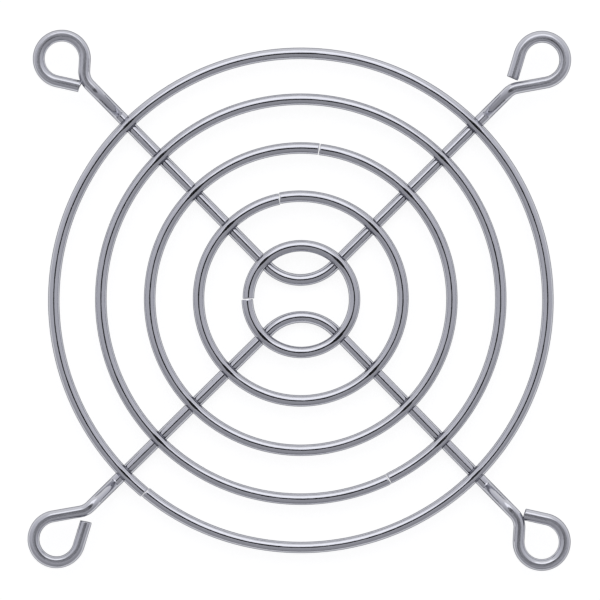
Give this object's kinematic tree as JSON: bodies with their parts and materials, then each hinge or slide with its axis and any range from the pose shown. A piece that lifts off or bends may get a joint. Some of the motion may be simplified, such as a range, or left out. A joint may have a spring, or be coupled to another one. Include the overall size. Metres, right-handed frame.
{
  "type": "wire fan guard",
  "caption": "Round wire guard for the face of a small square cooling fan: concentric rings welded to bent wire ribs, whose ends curl into raised screw eyes.",
  "frame": {"origin": "centre of the rings, on the plane that the ribs lie on", "axes": "+Z from the ribs towards the rings and the raised screw eyes, the side that faces the fan; +X and +Y along the sides of the square of screw eyes"},
  "size_m": [0.08, 0.08, 0.0052],
  "materials": {
    "plated_wire": "bright nickel-chrome plating over drawn steel wire"
  },
  "bodies": {
    "root": {"centre_ring": "plated_wire", "inner_ring": "plated_wire", "middle_ring": "plated_wire", "outer_ring": "plated_wire", "rim_ring": "plated_wire", "upper_rib": "plated_wire", "lower_rib": "plated_wire"}
  },
  "joints": []
}
